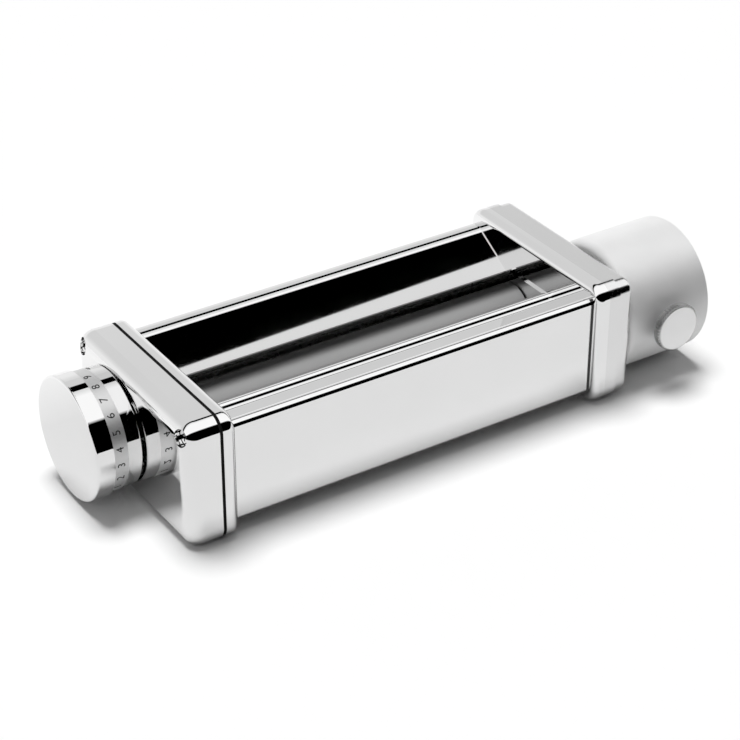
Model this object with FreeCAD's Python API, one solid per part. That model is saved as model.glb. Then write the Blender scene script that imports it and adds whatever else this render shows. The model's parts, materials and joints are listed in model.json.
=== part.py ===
"""Pasta sheet roller for a stand mixer: two rollers in a chromed box body between two end flanges.

Millimetres.  x runs along the rollers from the thickness dial (-x) to the drive hub (+x), y = 0 is the
plane of the nip with +y to the rear, and z = 0 is the table.  Each piece is built in that frame and is
moved by ORIGIN_SHIFT when it is written, so that the origin lies under the middle of the overall box.
"""
import FreeCAD
import Part
import math
import os

V = FreeCAD.Vector

# Body and flanges
SHEET_WIDTH = 150.0        # between the inner faces of the flanges
FLANGE_THICK = 5.2
FLANGE_CORNER = 6.0
FLANGE_EDGE = 3.0          # soft edge on the side that faces the panels
FLANGE_BEFORE_HUB = 0.3    # of the front edge beyond the drive hub
HUB_OVER_FLANGE = 2.2      # of the drive hub over the top edge
FLANGE_BEHIND_ROLLER = 31.7    # from the rear roller's axis to the rear edge
PANEL_INSET = 3.3          # of the front and rear walls from the flanges' edges
PANEL_TOP_INSET = 5.2
PANEL_BOTTOM_Z = 5.0
PANEL_SHEET = 0.7
PANEL_FRONT_RISE = 1.3     # of the front wall's top over the rear wall's
PANEL_BEND = 2.4
PANEL_FOOT_BEND = 1.3
PANEL_LIP = 9.0            # return lip under the body
FRONT_GUIDE_SHORT = 4.0    # from the front roller's axis forward to the front guide's end
FRONT_GUIDE_RISE = 2.4     # of the front guide's end over the front roller
FRONT_WIRE_R = 1.8         # wired edge along the front guide's end
REAR_GUIDE_PAST = 0.6      # from the rear roller's axis forward to the rear guide's end
REAR_GUIDE_RISE = 1.55     # of the rear guide's end over the front roller
RIDGE_INSET = 4.5          # of the rear guide's ridge from the rear wall
RIDGE_RISE = 0.8           # of the ridge over the rear wall
RIDGE_BEND = 8.8
RIDGE_FRONT_SLOPE = 22.0   # degrees, of the ridge's front
RIDGE_FRONT_LENGTH = 3.4
RIDGE_FOOT_BEND = 3.0

# Rollers, and the gap between them at the dial's rest number
AXIS_SPREAD = 26.0         # from the drive hub's axis back to the dial's axis
DIAL_DROP = 1.2            # of the dial's axis below the drive hub's
REAR_ROLLER_DROP = 6.0     # of the rear roller's axis below the front roller's
ROLLER_R = 10.2
ROLLER_EDGE = 0.5
GAP_REST = 3.0
GAP_STEP = 0.4             # per number of the dial
STEPS_TO_OPEN = 3
STEPS_TO_CLOSE = 6
ROLLER_END_PLAY = 0.4
FRONT_JOURNAL_R = 6.0
REAR_JOURNAL_R = 5.5
DRIVE_STUB_R = 5.0

# Inner side plates, bushes, and the carriage that holds the rear roller
SIDE_PLATE_THICK = 1.0
SIDE_PLATE_RISE = 7.8      # over the axis of the front roller
SIDE_PLATE_INSET = 0.3
JOURNAL_ROOM = 0.6
BUSH_WALL = 1.7
BUSH_FLANGE_THICK = 1.0
BUSH_FLANGE_RIM = 0.8
BLOCK_WALL = 2.2
BLOCK_LIP_THICK = 1.5
BLOCK_LIP_RIM = 1.5
CARRIAGE_ROD_R = 2.5
CARRIAGE_ROD_BACK = 14.1   # from the rear roller's axis back to the carriage rod
CARRIAGE_ROD_DROP = 6.5    # from the rear roller's axis down to the carriage rod
CARRIAGE_ROD_WALL = 1.5
SPRING_POCKET = 4.5
SPRING_R = 2.2
SPRING_WIRE = 0.7
SCRAPER_SHEET = 0.8
SCRAPER_INSET = 6.0        # from the side plates
SCRAPER_EDGE_GAP = 0.35    # from the roller

# Gear pair in the dial end
GEAR_TEETH = 11
TOOTH_RISE = 1.7           # tip over the circle where the teeth meet with the rollers closed
TOOTH_DEPTH = 2.2          # root below that circle
TOOTH_ROOT = 2.5           # tooth thickness at the root, middle and tip
TOOTH_MID = 1.5
TOOTH_TIP = 0.6
GEAR_WIDTH = 4.0
GEAR_STANDOFF = 0.5

# Thickness adjuster
STEP_ANGLE = 16.0
ADJUSTER_R = 4.0
SHAFT_FLAT = 3.2           # from the axis to the flat that turns with the dial
CAM_WIDTH = 3.0
CAM_STANDOFF = 0.8
CAM_GROUND = 12.0          # degrees of ramp past either end of the range
CAM_BACK_R = 10.4
FOLLOWER_R = 2.0
FOLLOWER_REACH = 16.2      # from the adjuster's axis to the follower at rest
FOLLOWER_RIM = 2.5
ADJUSTER_BUSH_WALL = 2.2
ADJUSTER_SEAT_IN = 2.8     # of the bush, inward from the cover's face
ADJUSTER_SEAT_OUT = 4.5    # of the bush, outward into the dial
ADJUSTER_SEAT_WALL = 1.8

# Dial and knob
DIAL_R = 21.6
DIAL_WALL = 2.2
DIAL_LENGTH = 10.95
DIAL_EDGE = 0.6
DIAL_FACE_GAP = 0.8        # between the dial and the dial end's cover
DIAL_COLLAR_LENGTH = 3.0
DIAL_WEB_THICK = 2.0
DIAL_WEB_RECESS = 4.15
LOCK_CIRCLE_R = 15.0
LOCK_PIN_R = 1.2
LOCK_HOLE_ROOM = 0.3
LOCK_PIN_SHORT = 0.3       # the pin's tip stays this far from the dial's web
KNOB_RIM = 1.1             # of the knob cap over the dial
KNOB_LENGTH = 6.6
KNOB_FACE_THICK = 2.0
KNOB_EDGE = 0.9
KNOB_SCREW_R = 2.0
KNOB_SCREW_DEPTH = 8.0
KNOB_SCREW_HEAD_R = 3.4
KNOB_SCREW_HEAD = 1.6
KNOB_WASHER_R = 7.0
KNOB_WASHER_THICK = 1.0
KNOB_SPRING_LENGTH = 5.5
KNOB_SPRING_R = 6.2
KNOB_SPRING_WIRE = 0.9

# End covers
GASKET_THICK = 1.2
GASKET_WIDTH = 3.2
GASKET_INSET = 0.25
COVER_WALL = 1.8
DIAL_COVER_DEPTH = 12.6
DIAL_COVER_EDGE = 5.6
HUB_COVER_DEPTH = 11.3
HUB_COVER_STEP_X = 4.8     # from the flange to the step in the cover's outline
HUB_COVER_STEP = 0.8
HUB_COVER_EDGE = 2.0
COVER_SCREW_INSET = 5.2
COVER_POST_R = 4.2
COVER_SCREW_R = 1.6
COVER_SCREW_FLOOR = 1.2    # of the flange, left under the screw holes
COVER_SCREW_HEAD_R = 2.7
COVER_SCREW_HEAD = 1.4
COVER_SPOT_R = 3.1
COVER_SPOT_DEPTH = 3.6
CROSS_LENGTH = 3.4         # recess in the screws' heads
CROSS_WIDTH = 0.8
CROSS_DEPTH = 0.8

# Drive hub
HUB_R = 25.4
HUB_LENGTH = 36.9
HUB_EDGE = 0.8
HUB_FOOT_EDGE = 2.6        # next to the end cover
HUB_WALL = 3.6
HUB_FLOOR_GAP = 0.1        # from the hub down to the table
HUB_BORE_LENGTH = 24.4
HUB_WEB_THICK = 3.5
HUB_POCKET_ROOM = 0.7
COUPLER_R = 8.0
COUPLER_HEAD_R = 9.5
COUPLER_RECESS = 1.0       # from the bore's floor to the coupler's face
COUPLER_STANDOFF = 0.6
COUPLER_INNER_LENGTH = 5.5
SOCKET_FLATS = 9.6
SOCKET_DEPTH = 6.5
STUB_END_ROOM = 0.5
COUPLER_PIN_R = 1.25
HUB_SCREW_CIRCLE_R = 16.0
HUB_SCREW_COUNT = 4
HUB_SCREW_R = 2.0
HUB_SCREW_DEPTH = 8.0
HUB_SCREW_HEAD_R = 3.5
HUB_SCREW_HEAD = 2.6

# Thumbscrew in the hub's front
THUMB_FROM_END = 19.3      # from the hub's end to the thumbscrew
THUMB_STAND = 5.7          # of the thumbscrew's face over the hub
THUMB_HEAD_R = 9.3
THUMB_HEAD_THICK = 3.4
THUMB_EDGE = 0.5
THUMB_SHANK_R = 3.0
PAD_R = 2.6
PAD_THICK = 1.0
PAD_STEM_R = 1.2
PAD_STEM_LENGTH = 1.8
PAD_RECESS = 0.2           # behind the wall of the hub's bore

# Tie rods between the flanges
TIE_ROD_R = 3.0
TIE_ROD_FRONT_INSET = 5.4  # from the panels' outer faces
TIE_ROD_REAR_INSET = 4.1
TIE_ROD_LOW_Z = 10.0
TIE_ROD_TOP_INSET = 7.0    # from the panels' top
TIE_SCREW_R = 1.6
TIE_SCREW_DEPTH = 9.0
TIE_SCREW_HEAD_R = 2.8
TIE_SCREW_HEAD = 2.0

# Fits
RUN_FIT = 0.05             # shaft in bush
SEAT_FIT = 0.02            # piece pressed or screwed in its seat
SLIDE_FIT = 0.15           # flat sliding faces
CLEAR = 0.3                # moving faces that only pass each other

# Places worked out from the sizes above
KNOB_R = DIAL_R + KNOB_RIM
HUB_BORE_R = HUB_R - HUB_WALL
AXIS_Z = HUB_R + HUB_FLOOR_GAP    # of the front roller and the drive hub
DIAL_Z = AXIS_Z - DIAL_DROP
FLANGE_HEIGHT = AXIS_Z + HUB_R - HUB_OVER_FLANGE
PANEL_TOP_Z = FLANGE_HEIGHT - PANEL_TOP_INSET
SIDE_PLATE_TOP_Z = AXIS_Z + SIDE_PLATE_RISE
TIE_ROD_HIGH_Z = PANEL_TOP_Z - TIE_ROD_TOP_INSET
FLANGE_IN_X = SHEET_WIDTH / 2
FLANGE_OUT_X = FLANGE_IN_X + FLANGE_THICK
ROLLER_END_X = FLANGE_IN_X - SIDE_PLATE_THICK - ROLLER_END_PLAY
FRONT_Y = -AXIS_SPREAD / 2
DIAL_Y = AXIS_SPREAD / 2
ROLLER_SPREAD = 2 * ROLLER_R + GAP_REST
ROLLER_TILT = math.asin(REAR_ROLLER_DROP / ROLLER_SPREAD)
REAR_Y = FRONT_Y + ROLLER_SPREAD * math.cos(ROLLER_TILT)
REAR_Z = AXIS_Z - REAR_ROLLER_DROP
SLIDE_STEP = GAP_STEP / math.cos(ROLLER_TILT)
TRAVEL_OPEN = STEPS_TO_OPEN * SLIDE_STEP
TRAVEL_CLOSE = STEPS_TO_CLOSE * SLIDE_STEP
FLANGE_FRONT_Y = FRONT_Y - HUB_R - FLANGE_BEFORE_HUB
FLANGE_REAR_Y = REAR_Y + FLANGE_BEHIND_ROLLER
PANEL_FRONT_Y = FLANGE_FRONT_Y + PANEL_INSET
PANEL_REAR_Y = FLANGE_REAR_Y - PANEL_INSET
FRONT_GUIDE_END_Y = FRONT_Y - FRONT_GUIDE_SHORT
FRONT_GUIDE_END_Z = AXIS_Z + ROLLER_R + FRONT_GUIDE_RISE
REAR_GUIDE_END_Y = REAR_Y - REAR_GUIDE_PAST
REAR_GUIDE_END_Z = AXIS_Z + ROLLER_R + REAR_GUIDE_RISE
RIDGE_Y = PANEL_REAR_Y - RIDGE_INSET
RIDGE_Z = PANEL_TOP_Z + RIDGE_RISE
GEAR_MID_R = ROLLER_R + (GAP_REST - STEPS_TO_CLOSE * GAP_STEP) / 2
GEAR_ROOT_R = GEAR_MID_R - TOOTH_DEPTH
GEAR_TIP_R = GEAR_MID_R + TOOTH_RISE
GASKET_OUT_X = FLANGE_OUT_X + GASKET_THICK
DIAL_FACE_X = GASKET_OUT_X + DIAL_COVER_DEPTH
HUB_FACE_X = FLANGE_OUT_X + HUB_COVER_DEPTH
HUB_END_X = HUB_FACE_X + HUB_LENGTH
HUB_FLOOR_X = HUB_END_X - HUB_BORE_LENGTH
THUMB_X = HUB_END_X - THUMB_FROM_END
THUMB_FACE_Y = FRONT_Y - HUB_R - THUMB_STAND
DIAL_NEAR_X = DIAL_FACE_X + DIAL_FACE_GAP
DIAL_FAR_X = DIAL_NEAR_X + DIAL_LENGTH
KNOB_FACE_X = DIAL_FAR_X + KNOB_LENGTH
BLOCK_IN_X = FLANGE_IN_X + SLIDE_FIT
LIP_NEAR_X = FLANGE_OUT_X + SLIDE_FIT
LIP_FAR_X = LIP_NEAR_X + BLOCK_LIP_THICK
GEAR_NEAR_X = LIP_FAR_X + GEAR_STANDOFF
GEAR_FAR_X = GEAR_NEAR_X + GEAR_WIDTH
CAM_NEAR_X = GEAR_FAR_X + CAM_STANDOFF
CAM_FAR_X = CAM_NEAR_X + CAM_WIDTH
FOLLOWER_Y = DIAL_Y + FOLLOWER_REACH
REAR_BUSH_R = REAR_JOURNAL_R + RUN_FIT + BUSH_WALL
FRONT_BUSH_R = FRONT_JOURNAL_R + RUN_FIT + BUSH_WALL
ADJUSTER_BUSH_R = ADJUSTER_R + RUN_FIT + ADJUSTER_BUSH_WALL
CARRIAGE_ROD_Y = REAR_Y + CARRIAGE_ROD_BACK
CARRIAGE_ROD_Z = REAR_Z - CARRIAGE_ROD_DROP
BLOCK_FRONT_Y = REAR_Y - REAR_BUSH_R - BLOCK_WALL
BLOCK_REAR_Y = CARRIAGE_ROD_Y + CARRIAGE_ROD_R + CARRIAGE_ROD_WALL
BLOCK_LOW_Z = CARRIAGE_ROD_Z - CARRIAGE_ROD_R - CARRIAGE_ROD_WALL
BLOCK_HIGH_Z = REAR_Z + REAR_BUSH_R + BLOCK_WALL
DIAL_WEB_X = DIAL_NEAR_X + DIAL_WEB_RECESS
DIAL_WEB_FAR_X = DIAL_WEB_X + DIAL_WEB_THICK
SHAFT_END_X = DIAL_WEB_FAR_X + KNOB_SPRING_LENGTH
COUPLER_FACE_X = HUB_FLOOR_X - COUPLER_RECESS
COUPLER_HEAD_X = HUB_FACE_X + HUB_WEB_THICK + COUPLER_STANDOFF
COUPLER_NEAR_X = HUB_FACE_X - COUPLER_INNER_LENGTH
STUB_END_X = COUPLER_FACE_X - SOCKET_DEPTH - STUB_END_ROOM
COUPLER_PIN_X = COUPLER_NEAR_X + 2 * COUPLER_PIN_R
SCREW_FRONT_Y = FLANGE_FRONT_Y + COVER_SCREW_INSET
SCREW_REAR_Y = FLANGE_REAR_Y - COVER_SCREW_INSET
SCREW_Z = FLANGE_HEIGHT - COVER_SCREW_INSET
SCREW_YS = (SCREW_FRONT_Y, SCREW_REAR_Y)
SCREW_FLOOR_X = FLANGE_IN_X + COVER_SCREW_FLOOR
TIE_FRONT_Y = PANEL_FRONT_Y + TIE_ROD_FRONT_INSET
TIE_REAR_Y = PANEL_REAR_Y - TIE_ROD_REAR_INSET
TIE_RODS = [(y, z) for y in (TIE_FRONT_Y, TIE_REAR_Y) for z in (TIE_ROD_LOW_Z, TIE_ROD_HIGH_Z)]
ORIGIN_SHIFT = V((KNOB_FACE_X - HUB_END_X) / 2, -(THUMB_FACE_Y + FLANGE_REAR_Y) / 2, 0)


def box(x0, x1, y0, y1, z0, z1):
    """Block between two corners."""
    return Part.makeBox(x1 - x0, y1 - y0, z1 - z0, V(x0, y0, z0))


def rod(x0, x1, radius, y, z=AXIS_Z):
    """Cylinder along x."""
    return Part.makeCylinder(radius, x1 - x0, V(x0, y, z), V(1, 0, 0))


def tube(x0, x1, outer, inner, y, z=AXIS_Z):
    """Hollow cylinder along x."""
    return rod(x0, x1, outer, y, z).cut(rod(x0, x1, inner, y, z))


def at_x(shape, x):
    """Edges of a shape that lie in the plane at x."""
    found = []
    for edge in shape.Edges:
        bounds = edge.BoundBox
        if abs(bounds.XMin - x) < 1e-4 and abs(bounds.XMax - x) < 1e-4:
            found.append(edge)
    return found


def soften(shape, x, radius):
    """Round the edges of a shape that lie in the plane at x."""
    return shape.makeFillet(radius, at_x(shape, x))


def outline_plate(x0, x1, inset=0.0):
    """Plate with the flange's rounded outline, drawn in by an inset."""
    plate = box(
        x0, x1,
        FLANGE_FRONT_Y + inset, FLANGE_REAR_Y - inset,
        inset, FLANGE_HEIGHT - inset,
    )
    corners = [edge for edge in plate.Edges if edge.BoundBox.XLength > (x1 - x0) / 2]
    return plate.makeFillet(FLANGE_CORNER - inset, corners)


def dial_end(shape):
    """The same piece mirrored to the dial's end."""
    return shape.mirror(V(0, 0, 0), V(1, 0, 0))


def bent_sheet(points, bends, sheet, x0, x1):
    """Sheet along a profile of (y, z) points on its outer, left-hand side, with a radius for each bend."""
    count = len(points)
    nodes = [V(0, y, z) for y, z in points]
    runs = [(nodes[i + 1] - nodes[i]).normalize() for i in range(count - 1)]

    def side(offset):
        """Edges of the profile, moved to its right hand by an offset."""
        edges = []
        start = nodes[0] + right(runs[0]) * offset
        for i in range(1, count - 1):
            before = runs[i - 1]
            after = runs[i]
            turn = before.getAngle(after)
            bend = bends[i - 1]
            hand = 1.0 if before.cross(after).x < 0 else -1.0
            radius = bend - offset if hand > 0 else bend - sheet + offset
            reach = bend if hand > 0 else bend - sheet
            setback = reach * math.tan(turn / 2)
            centre = nodes[i] - before * setback + right(before) * hand * reach
            p0 = centre - right(before) * hand * radius
            p2 = centre - right(after) * hand * radius
            middle = (right(before) + right(after)).normalize()
            p1 = centre - middle * hand * radius
            edges.append(Part.makeLine(start, p0))
            edges.append(Part.Arc(p0, p1, p2).toShape())
            start = p2
        edges.append(Part.makeLine(start, nodes[-1] + right(runs[-1]) * offset))
        return edges

    def right(run):
        """Direction to the right of a run, seen from +x."""
        return V(0, run.z, -run.y)

    outer = side(0.0)
    inner = side(sheet)
    ends = [
        Part.makeLine(nodes[0], nodes[0] + right(runs[0]) * sheet),
        Part.makeLine(nodes[-1], nodes[-1] + right(runs[-1]) * sheet),
    ]
    wire = Part.Wire(Part.__sortEdges__(outer + inner + ends))
    face = Part.Face(wire)
    face.translate(V(x0, 0, 0))
    return face.extrude(V(x1 - x0, 0, 0))


def front_panel():
    """Front wall with its return lip below and, above, its feed guide that ends in a wired edge."""
    profile = [
        (PANEL_FRONT_Y + PANEL_LIP, PANEL_BOTTOM_Z),
        (PANEL_FRONT_Y, PANEL_BOTTOM_Z),
        (PANEL_FRONT_Y, PANEL_TOP_Z + PANEL_FRONT_RISE),
        (FRONT_GUIDE_END_Y, FRONT_GUIDE_END_Z),
    ]
    sheet = bent_sheet(profile, [PANEL_FOOT_BEND, PANEL_BEND], PANEL_SHEET, -FLANGE_IN_X, FLANGE_IN_X)
    return sheet.fuse(rod(-FLANGE_IN_X, FLANGE_IN_X, FRONT_WIRE_R, FRONT_GUIDE_END_Y, FRONT_GUIDE_END_Z))


def rear_panel():
    """Long feed guide that rises over a rounded ridge into the rear wall."""
    slope = math.radians(RIDGE_FRONT_SLOPE)
    profile = [
        (REAR_GUIDE_END_Y, REAR_GUIDE_END_Z),
        (RIDGE_Y - RIDGE_FRONT_LENGTH * math.cos(slope), RIDGE_Z - RIDGE_FRONT_LENGTH * math.sin(slope)),
        (RIDGE_Y, RIDGE_Z),
        (PANEL_REAR_Y, PANEL_TOP_Z),
        (PANEL_REAR_Y, PANEL_BOTTOM_Z),
        (PANEL_REAR_Y - PANEL_LIP, PANEL_BOTTOM_Z),
    ]
    bends = [RIDGE_FOOT_BEND, RIDGE_BEND, PANEL_BEND, PANEL_FOOT_BEND]
    return bent_sheet(profile, bends, PANEL_SHEET, -FLANGE_IN_X, FLANGE_IN_X)


def flange():
    """End plate of the hub's end: bush hole, slide window, tie-rod and cover-screw holes."""
    plate = soften(outline_plate(FLANGE_IN_X, FLANGE_OUT_X), FLANGE_IN_X, FLANGE_EDGE)
    plate = plate.cut(rod(FLANGE_IN_X, FLANGE_OUT_X, FRONT_BUSH_R + SEAT_FIT, FRONT_Y))
    plate = plate.cut(
        box(
            FLANGE_IN_X, FLANGE_OUT_X,
            BLOCK_FRONT_Y - TRAVEL_CLOSE - CLEAR, BLOCK_REAR_Y + TRAVEL_OPEN + CLEAR,
            BLOCK_LOW_Z - SLIDE_FIT, BLOCK_HIGH_Z + SLIDE_FIT,
        )
    )
    plate = plate.cut(
        box(
            FLANGE_IN_X, FLANGE_OUT_X,
            REAR_Y, BLOCK_REAR_Y + SPRING_POCKET,
            REAR_Z - SPRING_R - CLEAR, REAR_Z + SPRING_R + CLEAR,
        )
    )
    for y, z in TIE_RODS:
        plate = plate.cut(rod(FLANGE_IN_X, FLANGE_OUT_X, TIE_SCREW_R + SEAT_FIT, y, z))
    for y in SCREW_YS:
        plate = plate.cut(rod(SCREW_FLOOR_X, FLANGE_OUT_X, COVER_SCREW_R + SEAT_FIT, y, SCREW_Z))
    return plate


def travel_slot(x0, radius, y, z):
    """Round-ended slot up to the flange, for a rod that moves with the carriage."""
    front = y - TRAVEL_CLOSE
    rear = y + TRAVEL_OPEN
    ends = [rod(x0, FLANGE_IN_X, radius, front, z), rod(x0, FLANGE_IN_X, radius, rear, z)]
    return box(x0, FLANGE_IN_X, front, rear, z - radius, z + radius).fuse(ends)


def side_plate():
    """Thin plate on the flange's inner face that keeps the sheet between the rollers' ends."""
    plate_in_x = FLANGE_IN_X - SIDE_PLATE_THICK
    plate = box(
        plate_in_x, FLANGE_IN_X,
        PANEL_FRONT_Y + PANEL_SHEET + SIDE_PLATE_INSET, PANEL_REAR_Y - PANEL_SHEET - SIDE_PLATE_INSET,
        PANEL_BOTTOM_Z + PANEL_SHEET + SIDE_PLATE_INSET, SIDE_PLATE_TOP_Z,
    )
    plate = plate.cut(rod(plate_in_x, FLANGE_IN_X, FRONT_JOURNAL_R + JOURNAL_ROOM, FRONT_Y))
    plate = plate.cut(travel_slot(plate_in_x, REAR_JOURNAL_R + JOURNAL_ROOM, REAR_Y, REAR_Z))
    plate = plate.cut(travel_slot(plate_in_x, CARRIAGE_ROD_R + JOURNAL_ROOM, CARRIAGE_ROD_Y, CARRIAGE_ROD_Z))
    for y, z in TIE_RODS:
        plate = plate.cut(rod(plate_in_x, FLANGE_IN_X, TIE_ROD_R + SEAT_FIT, y, z))
    return plate


def front_bush():
    """Flanged bush of the front roller, in the hub's end."""
    bore_r = FRONT_JOURNAL_R + RUN_FIT
    body = tube(FLANGE_IN_X, FLANGE_OUT_X, FRONT_BUSH_R, bore_r, FRONT_Y)
    rim_far_x = FLANGE_OUT_X + BUSH_FLANGE_THICK
    return body.fuse(tube(FLANGE_OUT_X, rim_far_x, FRONT_BUSH_R + BUSH_FLANGE_RIM, bore_r, FRONT_Y))


def slide_block():
    """Bearing block of the rear roller, which slides in the flange's window and is kept by its lip."""
    body = box(BLOCK_IN_X, LIP_NEAR_X, BLOCK_FRONT_Y, BLOCK_REAR_Y, BLOCK_LOW_Z, BLOCK_HIGH_Z)
    lip = box(
        LIP_NEAR_X, LIP_FAR_X,
        BLOCK_FRONT_Y, BLOCK_REAR_Y + BLOCK_LIP_RIM,
        BLOCK_LOW_Z - BLOCK_LIP_RIM, BLOCK_HIGH_Z + BLOCK_LIP_RIM,
    )
    block = body.fuse(lip).removeSplitter()
    block = block.cut(rod(BLOCK_IN_X, LIP_FAR_X, REAR_BUSH_R + SEAT_FIT, REAR_Y, REAR_Z))
    return block.cut(rod(BLOCK_IN_X, LIP_NEAR_X, CARRIAGE_ROD_R + SEAT_FIT, CARRIAGE_ROD_Y, CARRIAGE_ROD_Z))


def cam_slide_block():
    """The dial end's block, whose lip reaches back to hold the cam follower."""
    reach = FOLLOWER_R + FOLLOWER_RIM
    arm = box(LIP_NEAR_X, LIP_FAR_X, BLOCK_REAR_Y, FOLLOWER_Y + reach, DIAL_Z - reach, DIAL_Z + reach)
    block = slide_block().fuse(arm).removeSplitter()
    return dial_end(block.cut(rod(LIP_NEAR_X, LIP_FAR_X, FOLLOWER_R + SEAT_FIT, FOLLOWER_Y, DIAL_Z)))


def slide_bush():
    """Plain bush of the rear roller, in the slide block."""
    return tube(BLOCK_IN_X, LIP_FAR_X, REAR_BUSH_R, REAR_JOURNAL_R + RUN_FIT, REAR_Y, REAR_Z)


def carriage_rod():
    """Rod that joins the two slide blocks, so that the roller stays parallel."""
    return rod(-LIP_NEAR_X, LIP_NEAR_X, CARRIAGE_ROD_R, CARRIAGE_ROD_Y, CARRIAGE_ROD_Z)


def scraper(rod_r, rod_y, rod_z, axis_y, axis_z):
    """Blade on a rod that lifts the sheet off a roller."""
    end_x = FLANGE_IN_X - SIDE_PLATE_THICK - SCRAPER_INSET
    reach = math.hypot(axis_y - rod_y, axis_z - rod_z)
    blade = box(
        -end_x, end_x,
        rod_y + rod_r, rod_y + reach - ROLLER_R - SCRAPER_EDGE_GAP,
        rod_z - SCRAPER_SHEET / 2, rod_z + SCRAPER_SHEET / 2,
    )
    turn = math.degrees(math.atan2(axis_z - rod_z, axis_y - rod_y))
    blade.rotate(V(0, rod_y, rod_z), V(1, 0, 0), turn)
    blade = rod(-end_x, end_x, rod_r + SEAT_FIT + SCRAPER_SHEET, rod_y, rod_z).fuse(blade)
    return blade.cut(rod(-end_x, end_x, rod_r + SEAT_FIT, rod_y, rod_z))


def follower():
    """Pin in the dial end's slide block that rides on the cam."""
    return rod(-CAM_FAR_X - CLEAR, -LIP_NEAR_X, FOLLOWER_R, FOLLOWER_Y, DIAL_Z)


def return_spring():
    """Sleeve of the coil that pushes a slide block towards the nip."""
    middle_x = (FLANGE_IN_X + FLANGE_OUT_X) / 2
    start = V(middle_x, BLOCK_REAR_Y, REAR_Z)
    outer = Part.makeCylinder(SPRING_R, SPRING_POCKET, start, V(0, 1, 0))
    return outer.cut(Part.makeCylinder(SPRING_R - SPRING_WIRE, SPRING_POCKET, start, V(0, 1, 0)))


def tie_rods():
    """Four rods that hold the flanges apart, tapped at both ends."""
    rods = []
    for y, z in TIE_RODS:
        bar = rod(-FLANGE_IN_X, FLANGE_IN_X, TIE_ROD_R, y, z)
        tap_r = TIE_SCREW_R + SEAT_FIT
        bar = bar.cut(rod(FLANGE_IN_X - TIE_SCREW_DEPTH, FLANGE_IN_X, tap_r, y, z))
        bar = bar.cut(rod(-FLANGE_IN_X, -FLANGE_IN_X + TIE_SCREW_DEPTH, tap_r, y, z))
        rods.append(bar)
    return Part.makeCompound(rods)


def tie_screws():
    """Screws through the hub end's flange into the tie rods."""
    screws = []
    for y, z in TIE_RODS:
        tip_x = FLANGE_IN_X - TIE_SCREW_DEPTH + STUB_END_ROOM
        shank = rod(tip_x, FLANGE_OUT_X, TIE_SCREW_R, y, z)
        head = rod(FLANGE_OUT_X, FLANGE_OUT_X + TIE_SCREW_HEAD, TIE_SCREW_HEAD_R, y, z)
        screws.append(shank.fuse(head))
    return Part.makeCompound(screws)


def front_roller():
    """Driven roller with a gear journal at the dial's end and a drive stub at the hub's end."""
    drum = rod(-ROLLER_END_X, ROLLER_END_X, ROLLER_R, FRONT_Y)
    drum = soften(drum, ROLLER_END_X, ROLLER_EDGE)
    drum = soften(drum, -ROLLER_END_X, ROLLER_EDGE)
    journal_end_x = FLANGE_OUT_X + BUSH_FLANGE_THICK
    drum = drum.fuse(rod(-GEAR_FAR_X, -ROLLER_END_X, FRONT_JOURNAL_R, FRONT_Y))
    drum = drum.fuse(rod(ROLLER_END_X, journal_end_x, FRONT_JOURNAL_R, FRONT_Y))
    drum = drum.fuse(rod(journal_end_x, STUB_END_X, DRIVE_STUB_R, FRONT_Y))
    pin_r = COUPLER_PIN_R + SEAT_FIT
    below = V(COUPLER_PIN_X, FRONT_Y, AXIS_Z - COUPLER_R)
    return drum.cut(Part.makeCylinder(pin_r, 2 * COUPLER_R, below, V(0, 0, 1)))


def rear_roller():
    """Adjustable roller with a gear journal at the dial's end."""
    drum = rod(-ROLLER_END_X, ROLLER_END_X, ROLLER_R, REAR_Y, REAR_Z)
    drum = soften(drum, ROLLER_END_X, ROLLER_EDGE)
    drum = soften(drum, -ROLLER_END_X, ROLLER_EDGE)
    drum = drum.fuse(rod(-GEAR_FAR_X, -ROLLER_END_X, REAR_JOURNAL_R, REAR_Y, REAR_Z))
    return drum.fuse(rod(ROLLER_END_X, LIP_FAR_X, REAR_JOURNAL_R, REAR_Y, REAR_Z))


def gear(y, z, bore_r):
    """Long-toothed gear at the dial's end, with one tooth along the line of the rollers' centres."""
    pitch = 2 * math.pi / GEAR_TEETH
    flank = ((GEAR_ROOT_R, TOOTH_ROOT), (GEAR_MID_R, TOOTH_MID), (GEAR_TIP_R, TOOTH_TIP))

    def point(radius, angle):
        """Point on the gear's outer face, at an angle from +y."""
        return V(-GEAR_FAR_X, y + radius * math.cos(angle), z + radius * math.sin(angle))

    edges = []
    for tooth in range(GEAR_TEETH):
        middle = tooth * pitch - ROLLER_TILT
        rise = [point(r, middle - t / (2 * r)) for r, t in flank]
        fall = [point(r, middle + t / (2 * r)) for r, t in reversed(flank)]
        line = rise + fall
        edges += [Part.makeLine(a, b) for a, b in zip(line, line[1:])]
        next_root = point(GEAR_ROOT_R, middle + pitch - TOOTH_ROOT / (2 * GEAR_ROOT_R))
        edges.append(Part.Arc(line[-1], point(GEAR_ROOT_R, middle + pitch / 2), next_root).toShape())
    blank = Part.Face(Part.Wire(Part.__sortEdges__(edges))).extrude(V(GEAR_WIDTH, 0, 0))
    return blank.cut(rod(-GEAR_FAR_X, -GEAR_NEAR_X, bore_r, y, z))


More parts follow.
